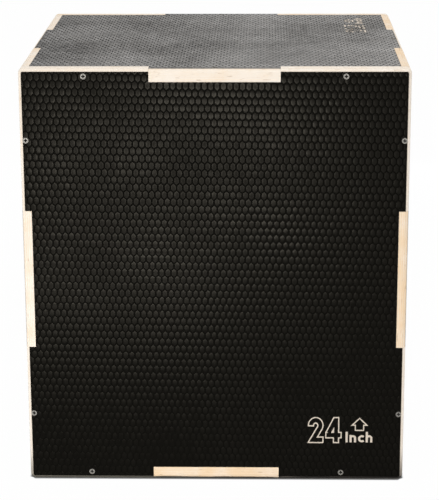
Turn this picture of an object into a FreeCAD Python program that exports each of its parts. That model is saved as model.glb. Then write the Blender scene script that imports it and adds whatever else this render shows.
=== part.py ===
import FreeCAD, Part
import os

# A plyometric jump box: six film-faced plywood panels with interlocking tabs, held by countersunk screws
# round one inner brace. Millimetres, +Z up, front towards -Y. Every piece is made about the middle of the
# box and lifted by half the height when it is written, so the origin is the middle of the base.

# Overall size, to the outer faces
WIDTH = 546.1
DEPTH = 508.0
HEIGHT = 609.6

# Film-faced plywood, thinner for the two ends: whole thickness and, within it, the film on its two faces
MAIN_SHEET = 19.0
SIDE_SHEET = 14.0
GRIP_FILM = 0.5
BACKING_FILM = 0.3
EDGE_ROUND = 7.0

# Tabs at the middle of each edge, by the direction that the edge runs in, and the room round each tab
TAB_ACROSS = 183.0
TAB_DEEP = 168.0
TAB_UP = 202.0
JOINT_GAP = 0.2

# Inner brace, let into stopped grooves that end clear of the screws
BRACE_SHEET = 14.0
BRACE_GROOVE = 4.0
BRACE_STOP = 20.0

# Countersunk wood screws with a cross recess, set in from an edge by a share of the sheet that they enter
SCREW_LENGTH = 40.0
SCREW_SHANK = 4.0
SCREW_HEAD = 8.0
SCREW_TIP = 6.0
SCREW_GAP = 0.1
HEAD_RIM = 0.4
HEAD_SINK = 0.7
SCREW_INSET = 0.58
RECESS_SPAN = 5.0
RECESS_FOOT = 2.4
RECESS_BLADE = 1.7
RECESS_DEPTH = 2.2

# Hand holes in the left and right panels
GRIP_LENGTH = 115.0
GRIP_HEIGHT = 36.0
GRIP_DROP = 150.0
GRIP_ROUND = 4.0

# The three directions by number. A panel is named by the direction that it faces
ACROSS, DEEP, UP = 0, 1, 2
HALF = {ACROSS: WIDTH / 2, DEEP: DEPTH / 2, UP: HEIGHT / 2}
SHEET = {ACROSS: SIDE_SHEET, DEEP: MAIN_SHEET, UP: MAIN_SHEET}
TAB = {ACROSS: TAB_ACROSS, DEEP: TAB_DEEP, UP: TAB_UP}
FACES = {
    "front": (DEEP, -1),
    "back": (DEEP, 1),
    "left": (ACROSS, -1),
    "right": (ACROSS, 1),
    "top": (UP, 1),
    "bottom": (UP, -1),
}
# Where two panels meet, the one with the lower rank runs through to the corner and is notched for a tab
RANK = {DEEP: 0, ACROSS: 1, UP: 2}


def block(ranges):
    """Box from its lowest and highest value along each of the three directions."""
    low = FreeCAD.Vector(*(ranges[axis][0] for axis in (ACROSS, DEEP, UP)))
    size = [ranges[axis][1] - ranges[axis][0] for axis in (ACROSS, DEEP, UP)]
    return Part.makeBox(*size, low)


def about_middle(reach):
    """Range that goes equally far to both sides of the middle."""
    return (-reach, reach)


def outward(side, near, far):
    """Range between two distances from the middle, on the side that -1 or 1 gives."""
    return tuple(sorted((side * near, side * far)))


def point(places):
    """Point from its place along each direction."""
    return FreeCAD.Vector(places[ACROSS], places[DEEP], places[UP])


def turned(profile):
    """Solid turned about Z from (radius, height) corners that start and end on the axis."""
    corners = [FreeCAD.Vector(radius, 0, height) for radius, height in profile]
    face = Part.Face(Part.makePolygon(corners + corners[:1]))
    return face.revolve(FreeCAD.Vector(), FreeCAD.Vector(0, 0, 1), 360)


def others(axis):
    """The two directions that a panel spans."""
    return [other for other in (ACROSS, DEEP, UP) if other != axis]


def third(axis, edge):
    """The direction that an edge runs in, from the two panels that meet there."""
    return ACROSS + DEEP + UP - axis - edge


def runs_through(axis, edge):
    """Whether the panel facing axis owns the corner that it shares with the panel facing edge."""
    return RANK[axis] < RANK[edge]


def reach(axis, edge):
    """How far a panel's body goes towards one of its edges, tabs apart."""
    if runs_through(axis, edge):
        return HALF[edge]
    return HALF[edge] - SHEET[edge] - JOINT_GAP


def square_panel(axis, side):
    """Square-edged panel: a notch in the middle of each edge that it owns, a tab on each other edge."""
    thickness = outward(side, HALF[axis] - SHEET[axis], HALF[axis])
    body = {other: about_middle(reach(axis, other)) for other in others(axis)}
    panel = block({axis: thickness, **body})
    for edge in others(axis):
        run = third(axis, edge)
        for end in (-1, 1):
            if runs_through(axis, edge):
                depth = outward(end, HALF[edge] - SHEET[edge] - JOINT_GAP, HALF[edge] + JOINT_GAP)
                length = about_middle(TAB[run] / 2 + JOINT_GAP)
                panel = panel.cut(block({axis: thickness, edge: depth, run: length}))
            else:
                depth = outward(end, 0, HALF[edge])
                length = about_middle(TAB[run] / 2)
                panel = panel.fuse(block({axis: thickness, edge: depth, run: length}))
    return panel.removeSplitter()


def rounded_outline():
    """The whole box with all its outer edges rounded over."""
    whole = block({axis: about_middle(HALF[axis]) for axis in (ACROSS, DEEP, UP)})
    return whole.makeFillet(EDGE_ROUND, whole.Edges)


def with_hand_hole(panel, side):
    """Side panel with a round-ended slot near its top, eased on both rims."""
    height = HALF[UP] - GRIP_DROP
    radius = GRIP_HEIGHT / 2
    straight = GRIP_LENGTH / 2 - radius
    through = outward(side, HALF[ACROSS] - SIDE_SHEET, HALF[ACROSS])
    slot = block({ACROSS: through, DEEP: about_middle(straight), UP: (height - radius, height + radius)})
    for end in (-straight, straight):
        foot = FreeCAD.Vector(through[0], end, height)
        slot = slot.fuse(Part.makeCylinder(radius, SIDE_SHEET, foot, FreeCAD.Vector(1, 0, 0)))
    slot = slot.removeSplitter()
    panel = panel.cut(slot)
    room = slot.BoundBox
    room.enlarge(JOINT_GAP)
    rims = [
        edge
        for edge in panel.Edges
        if edge.BoundBox.XLength < edge.Length / 100 and room.isInside(edge.BoundBox)
    ]
    return panel.makeFillet(min(GRIP_ROUND, SIDE_SHEET / 3), rims)


def screw_form(gap, above):
    """Countersunk screw that points down, its head's face at z = 0, grown all round by a gap."""
    head = SCREW_HEAD / 2 + gap
    shank = SCREW_SHANK / 2 + gap
    neck = -HEAD_RIM - (head - shank)
    return turned(
        [
            (0, above),
            (head, above),
            (head, -HEAD_RIM),
            (shank, neck),
            (shank, SCREW_TIP - SCREW_LENGTH),
            (0, -SCREW_LENGTH - gap),
        ]
    )


def screw():
    """One screw, with two crossed tapered blades cut out of its head."""
    corners = [
        FreeCAD.Vector(-RECESS_SPAN / 2, -RECESS_BLADE / 2, 0),
        FreeCAD.Vector(RECESS_SPAN / 2, -RECESS_BLADE / 2, 0),
        FreeCAD.Vector(RECESS_FOOT / 2, -RECESS_BLADE / 2, -RECESS_DEPTH),
        FreeCAD.Vector(-RECESS_FOOT / 2, -RECESS_BLADE / 2, -RECESS_DEPTH),
    ]
    blade = Part.Face(Part.makePolygon(corners + corners[:1])).extrude(FreeCAD.Vector(0, RECESS_BLADE, 0))
    crossing = blade.copy()
    crossing.rotate(FreeCAD.Vector(), FreeCAD.Vector(0, 0, 1), 90)
    return screw_form(0, 0).cut(blade.fuse(crossing))


def screw_places(axis, side):
    """Where a face is screwed: both fingers beside each notch, and the middle of each tab."""
    places = []
    for edge in others(axis):
        run = third(axis, edge)
        finger = (TAB[run] / 2 + reach(axis, run)) / 2
        offsets = (-finger, finger) if runs_through(axis, edge) else (0,)
        for end in (-1, 1):
            for offset in offsets:
                inset = end * (HALF[edge] - SCREW_INSET * SHEET[edge])
                places.append(point({axis: side * (HALF[axis] - HEAD_SINK), edge: inset, run: offset}))
    return places


def set_in_face(form, axis, side):
    """Copies of a screw form at each of a face's screw places, turned to point into the box."""
    facing = point({other: side if other == axis else 0 for other in (ACROSS, DEEP, UP)})
    turn = FreeCAD.Rotation(FreeCAD.Vector(0, 0, 1), facing)
    copies = []
    for place in screw_places(axis, side):
        copy = form.copy()
        copy.Placement = FreeCAD.Placement(place, turn)
        copies.append(copy)
    return copies


def brace(room):
    """Upright board across the middle, a tongue on each edge, grown by the room that its grooves leave."""
    thickness = about_middle(BRACE_SHEET / 2 + room)
    inner = {axis: HALF[axis] - SHEET[axis] - JOINT_GAP + room for axis in (DEEP, UP)}
    board = block({ACROSS: thickness, **{axis: about_middle(inner[axis]) for axis in (DEEP, UP)}})
    for edge, run in ((DEEP, UP), (UP, DEEP)):
        tongue = about_middle(inner[edge] + BRACE_GROOVE)
        length = about_middle(HALF[run] - SCREW_LENGTH - BRACE_STOP + room)
        board = board.fuse(block({ACROSS: thickness, edge: tongue, run: length}))
    return board.removeSplitter()


def layer(panel, axis, side, start, stop):
    """What a panel has between two depths below its outer face."""
    cover = {other: about_middle(HALF[other]) for other in others(axis)}
    cover[axis] = outward(side, HALF[axis] - stop, HALF[axis] - start)
    return panel.common(block(cover))


def write(name, shape):
    """Lift a piece so that the box stands on z = 0, and write it."""
    solids = [solid.copy() for solid in shape.Solids]
    for solid in solids:
        solid.translate(FreeCAD.Vector(0, 0, HALF[UP]))
    piece = solids[0] if len(solids) == 1 else Part.makeCompound(solids)
    piece.exportStep(f"parts/{name}.step")
    print(f"{name}: {len(solids)} solids, {piece.Volume / 1000:.1f} cm3, valid {piece.isValid()}")


os.makedirs("parts", exist_ok=True)

outline = rounded_outline()
groove = brace(JOINT_GAP)
screw_hole = screw_form(SCREW_GAP, HEAD_SINK + SCREW_GAP)
holes = Part.makeCompound([hole for face in FACES.values() for hole in set_in_face(screw_hole, *face)])
one_screw = screw()

for name, (axis, side) in FACES.items():
    panel = square_panel(axis, side)
    if axis == ACROSS:
        panel = with_hand_hole(panel, side)
    panel = panel.common(outline).cut(holes).cut(groove)
    inside = SHEET[axis] - BACKING_FILM
    write(f"{name}_film", layer(panel, axis, side, 0, GRIP_FILM))
    write(f"{name}_panel", layer(panel, axis, side, GRIP_FILM, inside))
    write(f"{name}_backing", layer(panel, axis, side, inside, SHEET[axis]))
    write(f"{name}_screws", Part.makeCompound(set_in_face(one_screw, axis, side)))

write("inner_brace", brace(0))
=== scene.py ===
# %% [markdown]
# # A jump box of film-faced plywood
# The box is six sheets of birch plywood, each covered outside by a black film with small raised cells and
# inside by a smooth film. The sheets lock into each other with tabs and are screwed through. The solids
# already hold all of that at its real size, so this lesson adds what solids leave out: the raised cells, the
# size marks cut through the film, the plies in the cut edges, the plating on the screws, and the studio.

# %% Load the frame
import math
import bpy
import bmesh
import numpy as np
from mathutils import Matrix, Vector


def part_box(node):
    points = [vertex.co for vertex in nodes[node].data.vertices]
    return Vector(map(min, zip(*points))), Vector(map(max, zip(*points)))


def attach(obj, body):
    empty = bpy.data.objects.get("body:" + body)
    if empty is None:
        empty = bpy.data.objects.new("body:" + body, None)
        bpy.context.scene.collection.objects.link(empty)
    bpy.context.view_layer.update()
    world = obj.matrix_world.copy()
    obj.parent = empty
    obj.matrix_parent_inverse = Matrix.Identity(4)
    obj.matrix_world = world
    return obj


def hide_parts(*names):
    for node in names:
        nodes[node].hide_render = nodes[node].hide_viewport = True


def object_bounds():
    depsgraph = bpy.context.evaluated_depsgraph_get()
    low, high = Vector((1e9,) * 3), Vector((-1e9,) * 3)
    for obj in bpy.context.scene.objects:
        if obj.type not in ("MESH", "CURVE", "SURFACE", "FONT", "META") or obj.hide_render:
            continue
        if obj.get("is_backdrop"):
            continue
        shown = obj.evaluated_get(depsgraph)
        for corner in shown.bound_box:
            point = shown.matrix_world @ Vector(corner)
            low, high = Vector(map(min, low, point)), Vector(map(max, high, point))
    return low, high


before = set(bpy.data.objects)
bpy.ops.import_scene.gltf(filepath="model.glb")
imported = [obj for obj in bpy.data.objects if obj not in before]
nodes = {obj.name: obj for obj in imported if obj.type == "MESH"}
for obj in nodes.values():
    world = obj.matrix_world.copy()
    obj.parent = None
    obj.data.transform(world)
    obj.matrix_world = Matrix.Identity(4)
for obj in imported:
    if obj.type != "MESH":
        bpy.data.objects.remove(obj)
cad_low, cad_high = (np.array(corner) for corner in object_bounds())
SIZE = cad_high - cad_low
MIDDLE = (cad_low + cad_high) / 2
film_low, film_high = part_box("front_film")
# The film's thickness t, to a micrometre, and the inset i at which the rounding R of the box's edges ends it:
# (R - i)^2 + (R - t)^2 = R^2
FILM_THICK = round(film_high.y - film_low.y, 6)
FILM_INSET = film_low.x - cad_low[0]
EDGE_ROUND = FILM_INSET + FILM_THICK + math.sqrt(2 * FILM_INSET * FILM_THICK)
print("nodes:", len(nodes), "size in mm:", np.round(SIZE * 1000, 1))
print("film in mm:", round(FILM_THICK * 1000, 2), "edge rounding in mm:", round(EDGE_ROUND * 1000, 2))

# %% [markdown]
# ## The camera
# The picture was taken from a little above and almost square on, with a long lens. The camera could be
# placed by eye, but the film's corners in the picture fix it: a least-squares fit of a pinhole camera to
# those corners gives the place, the three turns and the lens below. Blender's camera looks along its own
# -Z, so its axes are written straight into a matrix.

# %% Camera
CAMERA_PLACE = Vector((0.0613, -2.8441, 1.0795))
CAMERA_LENS_MM = 136.61
CAMERA_SENSOR_MM = 36.0
CAMERA_DOWN = math.radians(15.738)
CAMERA_YAW = math.radians(-1.221)
CAMERA_ROLL = math.radians(-0.210)


def camera_axes(down, yaw, roll):
    """Right, up and backward directions of a camera that looks along +Y, then turns by yaw, down and roll."""
    forward = Vector((math.sin(yaw) * math.cos(down), math.cos(yaw) * math.cos(down), -math.sin(down)))
    level = Vector((math.cos(yaw), -math.sin(yaw), 0))
    above = level.cross(forward)
    right = level * math.cos(roll) + above * math.sin(roll)
    up = above * math.cos(roll) - level * math.sin(roll)
    return right, up, -forward


camera_data = bpy.data.cameras.new("camera")
camera_data.lens = CAMERA_LENS_MM
camera_data.sensor_width = CAMERA_SENSOR_MM
camera = bpy.data.objects.new("camera", camera_data)
turn = Matrix(camera_axes(CAMERA_DOWN, CAMERA_YAW, CAMERA_ROLL)).transposed().to_4x4()
camera.matrix_world = Matrix.Translation(CAMERA_PLACE) @ turn
bpy.context.scene.collection.objects.link(camera)
bpy.context.scene.camera = camera
print("camera at", tuple(CAMERA_PLACE), "lens", CAMERA_LENS_MM)

# %% [markdown]
# ## Faces as flat drawings
# Everything on a face is easier to draw flat: across, up and out of the face, measured from its middle. Each
# face is named by the two directions that look like right and up to someone who stands in front of it. Their
# cross product points out of the face, so one function carries any flat drawing to its place on the box.

# %% Face frames
FACES = {
    "front": ((1, 0, 0), (0, 0, 1)),
    "back": ((-1, 0, 0), (0, 0, 1)),
    "left": ((0, -1, 0), (0, 0, 1)),
    "right": ((0, 1, 0), (0, 0, 1)),
    "top": ((1, 0, 0), (0, 1, 0)),
    "bottom": ((1, 0, 0), (0, -1, 0)),
}


def face_axes(face):
    """Across, up and outward directions of a face, one per row."""
    across, up = np.array(FACES[face], float)
    return np.array([across, up, np.cross(across, up)])


def face_size(face):
    """Width and height of a face, from the box's size along the face's own directions."""
    return np.abs(face_axes(face)[:2] @ SIZE)


def face_middle(face):
    """Middle of a face: half the box's size outwards from the middle of the box."""
    out = face_axes(face)[2]
    return MIDDLE + out * np.abs(out @ SIZE) / 2


def on_face(face, flat):
    """Carry flat (across, up, out) points to the face: its middle plus each direction times its number."""
    return face_middle(face) + flat @ face_axes(face)


print("faces in mm:", {face: np.round(face_size(face) * 1000).tolist() for face in FACES})

# %% [markdown]
# ## Meshes from arrays
# Numpy works out all points of a shape at once, and foreach_set hands them to Blender in one go, which is far
# quicker than adding vertices one by one. Faces come as arrays too, one array for each number of corners.
# A boolean then trims one closed shape by another. Its Manifold solver is quick enough for thousands of
# cells.


# %% Mesh helpers
def mesh_from(name, points, *face_groups):
    """Mesh from an array of points and arrays of faces, where each array has one number of corners."""
    corners = np.concatenate([group.ravel() for group in face_groups])
    counts = np.concatenate([np.full(len(group), group.shape[1]) for group in face_groups])
    mesh = bpy.data.meshes.new(name)
    mesh.vertices.add(len(points))
    mesh.vertices.foreach_set("co", np.ascontiguousarray(points, np.float32).ravel())
    mesh.loops.add(len(corners))
    mesh.loops.foreach_set("vertex_index", corners.astype(np.int32))
    mesh.polygons.add(len(counts))
    mesh.polygons.foreach_set("loop_start", (np.cumsum(counts) - counts).astype(np.int32))
    mesh.update(calc_edges=True)
    return mesh


def points_of(mesh):
    """A mesh's points as an array of rows."""
    points = np.empty(len(mesh.vertices) * 3, np.float32)
    mesh.vertices.foreach_get("co", points)
    return points.reshape(-1, 3)


def reshaped(mesh, points):
    """The same mesh with its points at new places."""
    mesh.vertices.foreach_set("co", np.ascontiguousarray(points, np.float32).ravel())
    mesh.update()
    return mesh


def placed(mesh):
    """Object at the origin that shows a mesh."""
    piece = bpy.data.objects.new(mesh.name, mesh)
    bpy.context.scene.collection.objects.link(piece)
    return piece


def joined(name, meshes, reach=1e-6):
    """One mesh from several, with the points that coincide made one, so that loose triangles close up."""
    shape = bmesh.new()
    for mesh in meshes:
        shape.from_mesh(mesh)
        bpy.data.meshes.remove(mesh)
    bmesh.ops.remove_doubles(shape, verts=shape.verts, dist=reach)
    result = bpy.data.meshes.new(name)
    shape.to_mesh(result)
    shape.free()
    return result


def trimmed(name, mesh, tool, operation):
    """A closed mesh after a boolean with another closed mesh. Both are used up."""
    base, cutter = placed(mesh), placed(tool)
    step = base.modifiers.new("trim", "BOOLEAN")
    step.operation = operation
    step.solver = "MANIFOLD"
    step.object = cutter
    shown = base.evaluated_get(bpy.context.evaluated_depsgraph_get())
    result = bpy.data.meshes.new_from_object(shown)
    result.name = name
    for spent in (base, cutter):
        used = spent.data
        bpy.data.objects.remove(spent)
        bpy.data.meshes.remove(used)
    return result


print("mesh helpers ready")

# %% [markdown]
# ## Raised cells of the film
# The film is pressed against a mesh while it is hot, which leaves rows of tall hexagons with grooves between
# them. A bump map would draw them, but then their edges and the outline would stay flat, so they are
# modelled. One cell is a stack of hexagons that shrink faster across than up: its border and the groove's
# floor lie low, then come a steep side, a narrow shoulder and a slightly hollow top. Copies of that stack
# on a staggered grid make the sheet, and neighbours share their border points, so the sheet is one skin.
# The grid leans by about a hundredth, because the film isn't laid quite square on the wood.

# %% Cell sheet
# Pitch of the cells across and from row to row, and how the grid lies on a face: its shift and its lean
CELL_WIDE = 0.00880
CELL_ROW = 0.01040
CELL_PHASE = (-0.0016, -0.0006)
CELL_LEAN = (0.0032, -0.0108)
# Depths below the face: the groove leaves a thin skin of the film
GROOVE_DEPTH = 0.84 * FILM_THICK
SHOULDER_DEPTH = 0.00008
RIM_DEPTH = 0.00001
TOP_HOLLOW = 0.00008
SHEET_UNDERSIDE = 4 * FILM_THICK
# Rings of a cell from its border to its top: share of the cell across and up, and depth below the face
CELL_RINGS = np.array(
    [
        (1.00, 1.00, GROOVE_DEPTH),
        (0.90, 0.96, GROOVE_DEPTH),
        (0.78, 0.90, SHOULDER_DEPTH),
        (0.69, 0.83, RIM_DEPTH),
    ]
)
HEXAGON = np.array([(0, 4), (-3, 2), (-3, -2), (0, -4), (3, -2), (3, 2)]) / 6 * (CELL_WIDE, CELL_ROW)


def cell_centres(width, height):
    """Staggered grid that covers a face and a little more: every second row moves over by half a cell."""
    columns = int(width / CELL_WIDE / 2) + 2
    rows = int(height / CELL_ROW / 2) + 2
    column, row = np.meshgrid(np.arange(-columns, columns + 1), np.arange(-rows, rows + 1))
    across = (column + 0.5 * (row % 2)) * CELL_WIDE
    return np.stack([across.ravel(), (row * CELL_ROW).ravel()], axis=1) + CELL_PHASE


def cell_sheet(face):
    """Closed sheet of cells on a face.

    Point (cell, ring, corner) = centre + ring's shares * hexagon corner, at the ring's depth. Each cell adds
    a middle point. The underside repeats the borders lower down, and walls close the outer rim. Last, the
    grid leans: across grows by a share of up, and up by a share of across.
    """
    centres = cell_centres(*face_size(face))
    cells, rings, corners = len(centres), len(CELL_RINGS), len(HEXAGON)
    flat = centres[:, None, None, :] + CELL_RINGS[None, :, None, :2] * HEXAGON[None, None, :, :]
    depth = np.broadcast_to(CELL_RINGS[None, :, None, 2:], (cells, rings, corners, 1))
    stacks = np.concatenate([flat, -depth], axis=3).reshape(-1, 3)
    tops = np.column_stack([centres, np.full(cells, -TOP_HOLLOW)])
    lowered = np.full((cells, corners, 1), -SHEET_UNDERSIDE)
    under = np.concatenate([flat[:, 0], lowered], axis=2).reshape(-1, 3)
    points = np.concatenate([stacks, tops, under])

    index = np.arange(cells * rings * corners).reshape(cells, rings, corners)
    turn = np.roll(index, -1, axis=2)
    bands = np.stack([index[:, :-1], turn[:, :-1], turn[:, 1:], index[:, 1:]], axis=-1).reshape(-1, 4)
    top = np.broadcast_to((index.size + np.arange(cells))[:, None], (cells, corners))
    fans = np.stack([index[:, -1], turn[:, -1], top], axis=-1).reshape(-1, 3)
    below = index.size + cells + np.arange(cells * corners).reshape(cells, corners)

    # Neighbours share their borders: points that agree to a micrometre become one
    _, first, same = np.unique(np.round(points, 6), axis=0, return_index=True, return_inverse=True)
    same = same.ravel()
    borders = np.stack([same[index[:, 0]], same[turn[:, 0]]], axis=-1).reshape(-1, 2)
    lower = np.stack([same[below], same[np.roll(below, -1, axis=1)]], axis=-1).reshape(-1, 2)
    _, where, times = np.unique(np.sort(borders, axis=1), axis=0, return_index=True, return_counts=True)
    rim = where[times == 1]
    walls = np.column_stack([borders[rim][:, ::-1], lower[rim]])
    groups = (same[bands], same[fans], same[below][:, ::-1], walls)
    skin = points[first]
    skin[:, :2] += skin[:, 1::-1] * CELL_LEAN
    return mesh_from(f"{face}_cells", on_face(face, skin), *groups)


print("cells on the front:", len(cell_centres(*face_size("front"))))

# %% [markdown]
# ## Size marks
# Each height that the box can stand at is cut through the film beside an arrow, down to the wood that the
# film has stained. A font could give the numerals, but drawing them as a pen does is simpler to follow:
# every sign is a few strokes, and a stroke is a strip of even width carried along a path, with mitred
# corners. The unit is drawn solid. The numerals are outlines, which a fat stroke less a thin one gives, and
# the arrow is one closed stroke.

# %% Pen strokes
# How far a cut reaches above and below the face
CUT_ABOVE = 2 * FILM_THICK
CUT_BELOW = 3 * FILM_THICK


def arc(x, y, radius, start, stop, steps=16):
    """Points on a circle about (x, y) from one angle to another, in degrees."""
    angle = np.radians(np.linspace(start, stop, steps))
    return np.column_stack([x + radius * np.cos(angle), y + radius * np.sin(angle)])


def pen_stroke(path, wide, longer=0.0, closed=False):
    """Prism over a strip of even width: each point moves to both sides along its mitre by half the width.

    The mitre is (normal before + normal after) / (1 + their dot product). Open ends move out by longer.
    """
    path = np.array(path, float)
    ahead = np.roll(path, -1, axis=0) - path
    ahead = ahead / np.linalg.norm(ahead, axis=1, keepdims=True)
    if not closed:
        ahead[-1] = ahead[-2]
    behind = np.roll(ahead, 1, axis=0)
    if not closed:
        behind[0] = ahead[0]
        path[0] = path[0] - ahead[0] * longer
        path[-1] = path[-1] + ahead[-1] * longer
    turn = 1 + np.sum(ahead * behind, axis=1, keepdims=True)
    mitre = (ahead + behind)[:, ::-1] * (1, -1) / turn * wide / 2
    sides = ((1, CUT_ABOVE), (1, -CUT_BELOW), (-1, -CUT_BELOW), (-1, CUT_ABOVE))
    points = np.stack([np.insert(path + side * mitre, 2, high, axis=1) for side, high in sides], axis=1)
    index = np.arange(points.size // 3).reshape(len(path), 4)
    along = np.roll(index, -1, axis=0)
    quads = np.stack([index, np.roll(index, -1, axis=1), np.roll(along, -1, axis=1), along], axis=-1)
    if closed:
        return mesh_from("stroke", points.reshape(-1, 3), quads.reshape(-1, 4))
    ends = np.stack([index[0, ::-1], index[-1]])
    return mesh_from("stroke", points.reshape(-1, 3), quads[:-1].reshape(-1, 4), ends)


def drawn(strokes, wide, longer=0.0):
    """All strokes of a sign as one closed prism."""
    sign = None
    for path, closed in strokes:
        stroke = pen_stroke(path, wide, longer, closed)
        sign = stroke if sign is None else trimmed("sign", sign, stroke, "UNION")
    return sign


def outlined(strokes, wide, line):
    """A sign drawn as a line round its edge: its strokes with a fat pen, less its strokes with a thin pen."""
    fat = drawn(strokes, wide + line, line / 2)
    thin = drawn(strokes, wide - line, -line / 2)
    return trimmed("outline", fat, reshaped(thin, points_of(thin) * (1, 1, 2)), "DIFFERENCE")


print("cut below the face in mm:", round(CUT_BELOW * 1000, 2))

# %% Signs
# Strokes of each sign on a height of 1, with the width that the sign takes up
ARCH = np.vstack([[(0.11, 0.30)], arc(0.30, 0.40, 0.19, 180, 0), [(0.49, 0.0)]])
TWO = np.vstack([arc(0.31, 0.685, 0.205, 185, -32), [(0.19, 0.11), (0.63, 0.11)]])
FIVE = np.vstack([[(0.56, 0.89), (0.15, 0.89), (0.12, 0.52)], arc(0.28, 0.33, 0.22, 95, -160)])
OVAL = np.vstack([arc(0.30, 0.70, 0.19, 0, 180), arc(0.30, 0.30, 0.19, 180, 360)])
SIGNS = {
    "0": (0.60, [(OVAL, True)]),
    "1": (0.46, [([(0.35, 0.0), (0.35, 1.0)], False), ([(0.35, 0.87), (0.06, 0.72)], False)]),
    "2": (0.63, [(TWO, False)]),
    "4": (
        0.66,
        [
            ([(0.44, 0.0), (0.44, 1.0)], False),
            ([(0.0, 0.30), (0.66, 0.30)], False),
            ([(0.11, 0.36), (0.425, 0.93)], False),
        ],
    ),
    "5": (0.60, [(FIVE, False)]),
    ".": (0.22, [([(0.11, 0.0), (0.11, 0.22)], False)]),
    "I": (0.22, [([(0.11, 0.0), (0.11, 1.0)], False)]),
    "n": (0.60, [([(0.11, 0.0), (0.11, 0.70)], False), (ARCH, False)]),
    "c": (0.54, [(arc(0.35, 0.35, 0.24, 48, 312), False)]),
    "h": (0.60, [([(0.11, 0.0), (0.11, 1.0)], False), (ARCH, False)]),
}
SIGN_GAP = 0.12
# Pens on that height of 1: numerals, unit, and the line round a numeral
PEN = 0.22
UNIT_PEN = 0.19
PEN_LINE = 0.050
# An arrow that points up, with a height and a width of 1
ARROW = np.array([(0, 1), (-0.5, 0.43), (-0.28, 0.43), (-0.28, 0), (0.28, 0), (0.28, 0.43), (0.5, 0.43)])


def written(text, make):
    """Signs in a row, each made by a function of its strokes."""
    meshes, left = [], 0.0
    for letter in text:
        wide, strokes = SIGNS[letter]
        mesh = make(strokes)
        meshes.append(reshaped(mesh, points_of(mesh) + (left, 0, 0)))
        left += wide + SIGN_GAP
    return joined(text, meshes)


def fitted(mesh, left, low, wide, high):
    """A flat mesh moved and stretched to fill a rectangle."""
    points = points_of(mesh)
    near, far = points.min(0)[:2], points.max(0)[:2]
    points[:, :2] = (points[:, :2] - near) / (far - near) * (wide, high) + (left, low)
    return reshaped(mesh, points)


print("signs:", " ".join(SIGNS))

# %% Marks on the faces
# Left, low, width and height of the three parts of a mark, the width of the arrow's line, and how much of
# that width the arrow's path keeps inside its room, across and up
NUMERALS_ROOM = (0, 0, 0.0506, 0.0380)
ARROW_ROOM = (0.0633, 0.0178, 0.0263, 0.0195)
UNIT_ROOM = (0.0562, 0.0012, 0.0394, 0.0155)
MARK_LINE = 0.0018
ARROW_INSET = np.array((1.6, 1.2))
# For each marked face: number, left and low corner from the face's middle, length, height, quarter turns and
# how bold its lines are
MARKS = {
    "front": ("24", 0.1328, -0.2479, 0.0951, 0.0408, 0, 1.0),
    "back": ("24", 0.1328, -0.2479, 0.0951, 0.0408, 0, 1.0),
    "left": ("20", 0.190, 0.100, 0.120, 0.034, 1, 1.0),
    "right": ("20", 0.190, 0.100, 0.120, 0.034, 1, 1.0),
    "top": ("21.5", 0.1950, 0.0586, 0.1440, 0.0320, 1, 2.0),
}


def size_mark(number, bold):
    """Numerals, then an arrow above the unit, side by side from (0, 0)."""
    path = ARROW * (ARROW_ROOM[2:] - ARROW_INSET * MARK_LINE)
    arrow = pen_stroke(path, MARK_LINE * bold, closed=True)
    numerals = written(number, lambda strokes: outlined(strokes, PEN, PEN_LINE * bold))
    unit = written("Inch", lambda strokes: drawn(strokes, UNIT_PEN * math.sqrt(bold)))
    pieces = [fitted(numerals, *NUMERALS_ROOM), fitted(arrow, *ARROW_ROOM), fitted(unit, *UNIT_ROOM)]
    return joined("mark", pieces)


def mark_on(face):
    """A face's size mark as cutters at their place on the box."""
    number, left, low, length, high, quarters, bold = MARKS[face]
    mesh = fitted(size_mark(number, bold), 0, 0, length, high)
    points = points_of(mesh)
    if quarters:
        points = np.column_stack([high - points[:, 1], points[:, 0], points[:, 2]])
    return reshaped(mesh, on_face(face, points + (left, low, 0)))


print("marks:", {face: mark[0] for face, mark in MARKS.items()})

# %% [markdown]
# ## Film sheets
# The solid film has the right outline, with its notches, screw holes and rounded rim, but a flat face. So
# each cell sheet is trimmed to that outline: what both have in common stays. The marks come out of the
# outline first, because a small shape is quicker to cut. Each sheet then stands for its solid film.

# %% Film pieces
SHARP_EDGE = math.radians(10)
grips = {}
for face in FACES:
    outline = joined(f"{face}_outline", [nodes[f"{face}_film"].data.copy()])
    if face in MARKS:
        outline = trimmed(f"{face}_marked", outline, mark_on(face), "DIFFERENCE")
    sheet = trimmed(f"{face}_grip", cell_sheet(face), outline, "INTERSECT")
    sheet.materials.clear()
    sheet.shade_smooth()
    sheet.set_sharp_from_angle(angle=SHARP_EDGE)
    grips[face] = placed(sheet)
    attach(grips[face], "root")
    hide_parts(f"{face}_film")
    print(face, "film:", len(sheet.polygons), "faces", len(sheet.vertices), "points")

# %% [markdown]
# ## Shader maths as expressions
# A finish is a formula over the surface, and node trees hide formulas. So one small class wraps a socket:
# arithmetic on it adds Math nodes, and any other node comes from one method. Every finish below then reads
# like the sentence that describes it.


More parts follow.
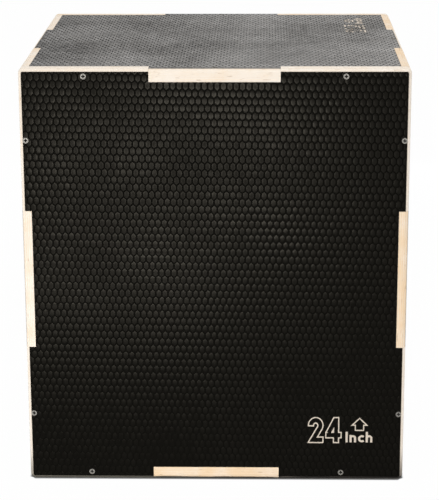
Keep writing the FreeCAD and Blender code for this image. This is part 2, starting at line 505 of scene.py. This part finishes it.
# %% Field class
class Field:
    """A value that changes over a surface: one output socket, on which arithmetic adds Math nodes."""

    def __init__(self, socket):
        self.socket = socket
        self.tree = socket.id_data

    @staticmethod
    def node(tree, kind, settings, inputs, output=0):
        """Add one node: its settings first, then the values or links of its sockets."""
        made = tree.nodes.new(kind)
        for name, value in settings.items():
            setattr(made, name, value)
        for name, value in inputs.items():
            if isinstance(value, Field):
                tree.links.new(value.socket, made.inputs[name])
            else:
                made.inputs[name].default_value = value
        return Field(made.outputs[output]) if made.outputs else None

    def math(self, operation, *values):
        return Field.node(self.tree, "ShaderNodeMath", {"operation": operation}, dict(enumerate(values)))

    def __add__(self, other):
        return self.math("ADD", self, other)

    def __radd__(self, other):
        return self.math("ADD", other, self)

    def __sub__(self, other):
        return self.math("SUBTRACT", self, other)

    def __rsub__(self, other):
        return self.math("SUBTRACT", other, self)

    def __mul__(self, other):
        return self.math("MULTIPLY", self, other)

    def __rmul__(self, other):
        return self.math("MULTIPLY", other, self)

    def floor(self):
        return self.math("FLOOR", self)

    def distance_to(self, value):
        gap = self - value
        return gap.math("ABSOLUTE", gap)

    def between(self, low, high):
        """0 below low, 1 above high, with a smooth step from one to the other."""
        inputs = {"Value": self, "From Min": low, "From Max": high}
        return Field.node(self.tree, "ShaderNodeMapRange", {"interpolation_type": "SMOOTHSTEP"}, inputs)

    def mix(self, first, second):
        """Colour that goes from the first to the second as this value goes from 0 to 1."""
        inputs = {0: self, 6: first, 7: second}
        return Field.node(self.tree, "ShaderNodeMix", {"data_type": "RGBA"}, inputs, 2)

    def along(self, direction):
        """How far a position reaches in a direction."""
        inputs = {0: self, 1: tuple(direction)}
        return Field.node(self.tree, "ShaderNodeVectorMath", {"operation": "DOT_PRODUCT"}, inputs, "Value")

    def noise(self, scale, detail=2.0):
        """Soft random value from 0 to 1, with so many waves per metre in each direction."""
        inputs = {0: self, 1: tuple(scale)}
        stretched = Field.node(self.tree, "ShaderNodeVectorMath", {"operation": "MULTIPLY"}, inputs)
        inputs = {"Vector": stretched, "Scale": 1.0, "Detail": detail}
        return Field.node(self.tree, "ShaderNodeTexNoise", {}, inputs)

    def bump(self, height, strength):
        """Normal tilted as if this value were a height, in metres from 0 to 1."""
        inputs = {"Height": self, "Distance": height, "Strength": strength}
        return Field.node(self.tree, "ShaderNodeBump", {}, inputs)


print("field methods:", [name for name in vars(Field) if not name.startswith("_")])


# %% Helpers for finishes
def finish(name, sockets_at):
    """Material whose shader sockets are worked out from the position on the box."""
    material = bpy.data.materials.new(name)
    material.use_nodes = True
    tree = material.node_tree
    tree.nodes.clear()
    place = Field.node(tree, "ShaderNodeTexCoord", {}, {}, "Object")
    shader = Field.node(tree, "ShaderNodeBsdfPrincipled", {}, sockets_at(place))
    Field.node(tree, "ShaderNodeOutputMaterial", {}, {"Surface": shader})
    return material


def coat(piece, material):
    """Give a piece one material all over."""
    if not piece.material_slots:
        piece.data.materials.append(material)
    for slot in piece.material_slots:
        slot.material = material


def even(waves):
    """The same number of waves per metre in all three directions."""
    return (waves, waves, waves)


def depth_below(place, face):
    """How far a position lies below a face, in metres."""
    out = face_axes(face)[2]
    return float(face_middle(face) @ out) - place.along(out)


def past_straight(place, axis):
    """How far a position lies past the straight part of the box's outline, along one direction."""
    away = place.along(np.eye(3)[axis]).distance_to(0) - (SIZE[axis] / 2 - EDGE_ROUND)
    return away.math("MAXIMUM", away, 0)


print("finish helpers ready")

# %% [markdown]
# ## Black film
# The film is paper soaked in dark resin: almost black, with a gloss that changes from cell to cell and in
# wider clouds, as pressing leaves it. The rims of the tops are painted a little lighter, partly as a painted
# highlight and partly as wear in patches, and the grooves are dull, because dust and parting agent stay
# there; their colour is painted darker for that dust and for the shade that falls in them. The depth below
# the face tells rims, tops and grooves apart, so no picture is needed. A fine bump roughens the resin. Feet
# have polished the film on top of the box in soft patches. A coat does that better than a paler colour
# would, because a polish shows at a low angle and hardly from above.

# %% Film finish
# Groove colour is painted shade with dust; rim colour is a painted highlight with wear
GROOVE_DUST_AND_SHADE = (0.0005, 0.0005, 0.0003, 1)
TOP_BLACK = (0.0022, 0.0020, 0.0016, 1)
RIM_WEAR_AND_HIGHLIGHT = (0.0040, 0.0036, 0.0028, 1)
RESIN_GLOSS = (1.0, 0.92, 0.76, 1)
# Depths between which a rim turns into the hollow of a top, and a top into a groove
RIM_EDGE = (RIM_DEPTH, 0.00005)
GROOVE_EDGE = (0.00012, 0.00034)
# Waves per metre of the clouds, of the patches as large as a cell, and of the resin's grain
CLOUD_WAVES = 9
PATCH_WAVES = 95
GRAIN_WAVES = 2600
# Polish on top of the box: how it grows to the right and to the front, its waves per metre, the values
# between which it sets in, and the weight and roughness of its coat
POLISH_DRIFT = (0.35, -0.45, 0)
POLISH_WAVES = (6, 5, 1)
POLISH_EDGE = (0.36, 0.68)
POLISH_WEIGHT = 0.45
POLISH_ROUGH = 0.5


def polish(place):
    """Polish on top of the box, from 0 to 1: soft patches that grow to the right and to the front."""
    drift = place.along(POLISH_DRIFT) + place.noise(POLISH_WAVES, 3)
    return drift.between(*POLISH_EDGE)


def grip_film(face):
    """Film: groove, hollow top and rim by depth below the face, each with its own tone and gloss."""

    def sockets(place):
        depth = depth_below(place, face)
        groove = depth.between(*GROOVE_EDGE)
        rim = 1 - depth.between(*RIM_EDGE)
        cloud = place.noise(even(CLOUD_WAVES), 4)
        patch = place.noise(even(PATCH_WAVES), 2)
        grain = place.noise(even(GRAIN_WAVES), 2)
        # Base colour: grooves painted darker as shade and dust, rims painted lighter as a highlight, in
        # patches of wear
        rim_wear_and_highlight = rim * (0.2 + 0.8 * patch)
        resin = {
            "Base Color": groove.mix(rim_wear_and_highlight.mix(TOP_BLACK, RIM_WEAR_AND_HIGHLIGHT), GROOVE_DUST_AND_SHADE),
            "Roughness": 0.42 * cloud - 0.07 + 0.38 * patch - 0.12 * rim + 0.32 * groove,
            "Specular IOR Level": 0.045,
            "Specular Tint": RESIN_GLOSS,
            "Normal": grain.bump(0.00002, 0.4),
        }
        if face == "top":
            resin["Coat Weight"] = POLISH_WEIGHT * polish(place)
            resin["Coat Roughness"] = POLISH_ROUGH
        return resin

    return finish(f"grip_film_{face}", sockets)


for face in FACES:
    coat(grips[face], grip_film(face))
print("film finishes:", len(grips))

# %% [markdown]
# ## Birch plywood
# A plywood edge shows its plies as fine stripes: the grain of each ply turns by a quarter, so one shows
# streaks and the next its end grain, and a thin dark glue line lies between. A picture of an edge would
# repeat and stretch, so the ply's number comes from the depth below the sheet's face, and two noises
# stretched along the two grain directions do the rest: on any cut through the sheet each one shows as
# streaks or as dots, just as wood does. Each sheet has its own tint. Short dark flaws lie in the plies, and
# the film's resin has stained the wood just under it. Along the foot the wood is painted with shade: ragged
# at its upper edge, lighter on the sole, fading out up the corners, and painted lighter towards the left as
# if lit from there.

# %% Plywood finish
PLY = 0.00136
BIRCH_PALE = (0.83, 0.757, 0.667, 1)
BIRCH_TAN = (0.77, 0.57, 0.36, 1)
BIRCH_STAINED = (0.60, 0.52, 0.43, 1)
GLUE_BROWN = (0.38, 0.24, 0.13, 1)
# Shade painted along the foot: black, and grey towards the left as painted light
PAINTED_SHADE_BLACK = (0.010, 0.008, 0.006, 1)
PAINTED_SHADE_GREY = (0.12, 0.11, 0.088, 1)
# Tint of each sheet, the higher the more tan, because no two come from the same log
SHEET_TAN = {
    "front": -0.1,
    "back": 0.3,
    "left": 0.05,
    "right": 0.55,
    "top": 0.0,
    "bottom": 0.65,
    "brace": 0.3,
}
# Waves per metre: streaks along and across the grain, flaws along and through the sheet, bent plies, tone
STREAK_LONG = 22
STREAK_FINE = 900
FLAW_LONG = 70
FLAW_THIN = 600
BEND_WAVES = 30
TONE_WAVES = 28
# Shade painted along the foot: waves per metre and height of its ragged edge, waves per metre of its patches,
# how far to the left they turn from black to grey as painted light, and how much of the shade the sole is
# spared
RAGGED_WAVES = 11
RAGGED_HEIGHT = 0.008
PALER_WAVES = 16
PALER_LEFT = (0.0, 0.4)
SOLE_UNSHADED = 0.85
# Shade painted up the corners: how far round the corner it sets in, heights at which it fades out, and its
# strength
CORNER_SHADE_ROUND = (0.0002, 0.0020)
CORNER_SHADE_HEIGHT = (0.004, 0.055)
CORNER_SHADE_STRENGTH = 0.75
# Depth below the face at which the stain fades out
STAIN_EDGE = (0.0007, 0.0012)
# Heights above the floor at which the painted shade fades out, on the walls, on the bottom sheet and towards
# the sole
WALL_PAINTED_SHADE = (0.0085, 0.0115)
BOTTOM_PAINTED_SHADE = (0.0062, 0.0085)
SOLE_EDGE = (0.0003, 0.0010)


def unshaded(place, sheet):
    """1 on plain wood, 0 in the shade painted along the foot, which is lighter on the sole and climbs the
    corners.
    """
    height = place.along((0, 0, 1))
    side, front = past_straight(place, 0), past_straight(place, 1)
    corner = side.math("MINIMUM", side, front)
    ragged = height + RAGGED_HEIGHT * place.noise(even(RAGGED_WAVES), 2)
    above = ragged.between(*(BOTTOM_PAINTED_SHADE if sheet == "bottom" else WALL_PAINTED_SHADE))
    corner_shade = corner.between(*CORNER_SHADE_ROUND) * (1 - height.between(*CORNER_SHADE_HEIGHT)) * CORNER_SHADE_STRENGTH
    sole = SOLE_UNSHADED - SOLE_UNSHADED * height.between(*SOLE_EDGE)
    return sole.math("MAXIMUM", sole, above * (1 - corner_shade))


def painted_shade_colour(place):
    """Shade painted along the foot: black on the right, in grey patches towards the left as painted light."""
    paler = place.along((-1, 0, 0)) + 0.3 * place.noise(even(PALER_WAVES), 3)
    return paler.between(*PALER_LEFT).mix(PAINTED_SHADE_BLACK, PAINTED_SHADE_GREY)


def birch_plies(sheet, axes, depth_at):
    """Plies by depth, each with its grain along the sheet's first or second direction in turn."""

    def sockets(place):
        across, up, out = np.abs(axes)
        depth = depth_at(place)
        layer = depth * (1 / PLY) + 0.16 * place.noise(even(BEND_WAVES), 2)
        number = layer.floor()
        turned = number.math("MODULO", number, 2)
        glue = (layer - number).distance_to(0.5).between(0.44, 0.5)
        upward = place.noise(across * STREAK_FINE + up * STREAK_LONG + out * STREAK_FINE, 3)
        sideways = place.noise(across * STREAK_LONG + up * STREAK_FINE + out * STREAK_FINE, 3)
        grain = upward + turned * (sideways - upward)
        tone = place.noise(even(TONE_WAVES), 4)
        tan = grain * 0.8 + turned * 0.3 + tone * 1.4 + (SHEET_TAN[sheet] - 1.1)
        flaw = place.noise((across + up) * FLAW_LONG + out * FLAW_THIN, 2).between(0.66, 0.72)
        dark = glue * 0.55 + flaw * 0.5
        stain = float(sheet in FACES) * (1 - depth.between(*STAIN_EDGE))
        birch = stain.mix(dark.mix(tan.mix(BIRCH_PALE, BIRCH_TAN), GLUE_BROWN), BIRCH_STAINED)
        # Along the foot the wood is painted with shade
        return {
            "Base Color": unshaded(place, sheet).mix(painted_shade_colour(place), birch),
            "Roughness": 0.55 + 0.2 * grain,
            "Specular IOR Level": 0.3,
            "Normal": grain.bump(0.00008, 0.35),
        }

    return finish(f"birch_{sheet}", sockets)


for face in FACES:
    plies = birch_plies(face, face_axes(face), lambda place, face=face: depth_below(place, face))
    coat(nodes[f"{face}_panel"], plies)
_, brace_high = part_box("inner_brace")
brace_axes = face_axes("right")
plies = birch_plies("brace", brace_axes, lambda place: brace_high.x - place.along(brace_axes[2]))
coat(nodes["inner_brace"], plies)
print("plywood finishes:", len(FACES) + 1)

# %% [markdown]
# ## Inner film and screws
# The inside of each sheet has a smooth brown-black film, which shows as a thin line where sheets meet and
# through the hand holes. The screws are steel with a thin zinc coat: patchy, with shade painted into the
# cross. Their solids have the right shape, so both only need a finish.

# %% Inner film and screw finishes
RESIN_BROWN = (0.020, 0.011, 0.007, 1)
RESIN_BLACK = (0.008, 0.006, 0.005, 1)
ZINC_BRIGHT = (0.22, 0.21, 0.19, 1)
ZINC_DULL = (0.10, 0.095, 0.085, 1)
# Shade painted into the screws' cross
RECESS_PAINTED_SHADE = (0.012, 0.011, 0.010, 1)
# Depth below the face from which painted shade fills the cross
RECESS_SHADE_EDGE = (0.0007, 0.0010)
# Waves per metre of the clouds and specks in the inner film, and of the patches on the zinc
RESIN_WAVES = 16
SPECK_WAVES = 900
ZINC_WAVES = 1500


def smooth_film(place):
    """Inner film: two dark browns in soft clouds, half glossy."""
    cloud = place.noise(even(RESIN_WAVES), 4)
    speck = place.noise(even(SPECK_WAVES), 2)
    return {
        "Base Color": cloud.mix(RESIN_BROWN, RESIN_BLACK),
        "Roughness": 0.30 + 0.15 * cloud + 0.08 * speck,
        "Normal": speck.bump(0.00002, 0.3),
    }


def zinc_screw(face):
    """Screw: zinc in fine patches, painted dark below the rim of the cross as shade."""

    def sockets(place):
        patch = place.noise(even(ZINC_WAVES), 3)
        recess_shade = depth_below(place, face).between(*RECESS_SHADE_EDGE)
        return {
            "Base Color": recess_shade.mix(patch.mix(ZINC_BRIGHT, ZINC_DULL), RECESS_PAINTED_SHADE),
            "Metallic": 1.0,
            "Roughness": 0.40 + 0.2 * patch + 0.2 * recess_shade,
            "Normal": patch.bump(0.00003, 0.3),
        }

    return finish(f"zinc_{face}", sockets)


inner_film = finish("inner_film", smooth_film)
for face in FACES:
    coat(nodes[f"{face}_backing"], inner_film)
    coat(nodes[f"{face}_screws"], zinc_screw(face))
print("inner film and screws coated")

# %% [markdown]
# ## Floor and room
# The box stands on a white floor in a white room. More light would whiten them, but it would burn out the
# wood too. So the floor and the room are plain white to the camera and in reflections only, and a dimmer
# room lights the box. Close round the foot the floor shows its own paint instead, so the contact shadow
# stays.

# %% Floor and room
FLOOR_SIDE = 12.0
FLOOR_PALE = (0.35, 0.35, 0.35, 1)
FLOOR_WHITE = 0.99
# Distances past the box's outline between which the floor's paint gives way to white
FOOT_SHADE = (-0.001, 0.0025)
ROOM_LIGHT = 0.37
WHITE = (1, 1, 1, 1)


def seen_directly(tree):
    """1 for rays from the camera, from mirrors and through glass, 0 for light that only falls on things."""
    kinds = ("Is Camera Ray", "Is Glossy Ray", "Is Transmission Ray")
    camera_ray, glossy, through = (Field.node(tree, "ShaderNodeLightPath", {}, {}, kind) for kind in kinds)
    return camera_ray.math("MAXIMUM", camera_ray.math("MAXIMUM", camera_ray, glossy), through)


corners = np.array([(-1, -1, 0), (1, -1, 0), (1, 1, 0), (-1, 1, 0)]) * FLOOR_SIDE / 2
floor = placed(mesh_from("floor", corners, np.arange(4).reshape(1, 4)))
floor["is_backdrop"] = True
floor_paint = bpy.data.materials.new("floor_paint")
floor_paint.use_nodes = True
tree = floor_paint.node_tree
tree.nodes.clear()
matt = Field.node(tree, "ShaderNodeBsdfDiffuse", {}, {"Color": FLOOR_PALE})
white = Field.node(tree, "ShaderNodeEmission", {}, {"Color": WHITE, "Strength": 1.0})
place = Field.node(tree, "ShaderNodeTexCoord", {}, {}, "Object")
side, front = past_straight(place, 0), past_straight(place, 1)
corner = side.math("MINIMUM", side, front)
past = side.math("SQRT", side * side + front * front) - EDGE_ROUND + corner
share = seen_directly(tree) * past.between(*FOOT_SHADE) * FLOOR_WHITE
both = Field.node(tree, "ShaderNodeMixShader", {}, {0: share, 1: matt, 2: white})
Field.node(tree, "ShaderNodeOutputMaterial", {}, {"Surface": both})
coat(floor, floor_paint)

room = bpy.data.worlds.new("room")
room.use_nodes = True
tree = room.node_tree
tree.nodes.clear()
level = ROOM_LIGHT + (1 - ROOM_LIGHT) * seen_directly(tree)
air = Field.node(tree, "ShaderNodeBackground", {}, {"Color": WHITE, "Strength": level})
Field.node(tree, "ShaderNodeOutputWorld", {}, {"Surface": air})
bpy.context.scene.world = room
bpy.context.scene.view_settings.view_transform = "Standard"
print("floor and room ready")

# %% [markdown]
# ## Lamps
# Black film shows little but what it mirrors, so one bright lamp would leave most of the box a flat black.
# Instead, each upright face has a low softbox that it mirrors towards someone who looks down at it, and the
# front has a small one more, near its foot. Two hang above and light the wood, and a wide one far behind
# puts a sheen on the top. Their sum is a plain level, at which a colour looks about as it is written.

# %% Lamps
# Each lamp: place, the point that it faces, width, height, power in watts and colour
WARM = (1.0, 0.92, 0.84, 1)
LAMPS = {
    "low_softbox": ((-0.14, -1.75, 0.17), (-0.02, -0.25, 0.30), 0.7, 0.34, 14.0, WHITE),
    "near_softbox": ((-0.20, -0.85, 0.07), (-0.10, -0.25, 0.17), 0.40, 0.12, 0.9, WHITE),
    "high_softbox": ((-0.3, -1.6, 2.7), (0, 0, 0.40), 1.6, 1.2, 26.0, WHITE),
    "rear_softbox": ((0.45, 3.2, 1.6), (0, 0, 0.6), 2.3, 0.8, 8.5, WARM),
    "top_softbox": ((0.3, 0.3, 2.7), (0, 0, 0.6), 0.8, 0.8, 18.0, WHITE),
    "left_softbox": ((-1.85, 0.05, 0.22), (-0.27, 0, 0.30), 0.8, 0.34, 12.0, WHITE),
    "right_softbox": ((1.85, 0.05, 0.22), (0.27, 0, 0.30), 0.8, 0.34, 12.0, WHITE),
    "back_softbox": ((0.1, 1.85, 0.22), (0, 0.25, 0.30), 0.8, 0.34, 12.0, WHITE),
}
for name, (place, aim, wide, high, power, colour) in LAMPS.items():
    data = bpy.data.lights.new(name, "AREA")
    data.shape = "RECTANGLE"
    data.size = wide
    data.size_y = high
    data.energy = power
    data.color = colour[:3]
    lamp = bpy.data.objects.new(name, data)
    lamp.location = place
    lamp.rotation_euler = (Vector(aim) - Vector(place)).to_track_quat("-Z", "Y").to_euler()
    lamp.visible_camera = False
    bpy.context.scene.collection.objects.link(lamp)
print("lamps:", list(LAMPS))

# %% [markdown]
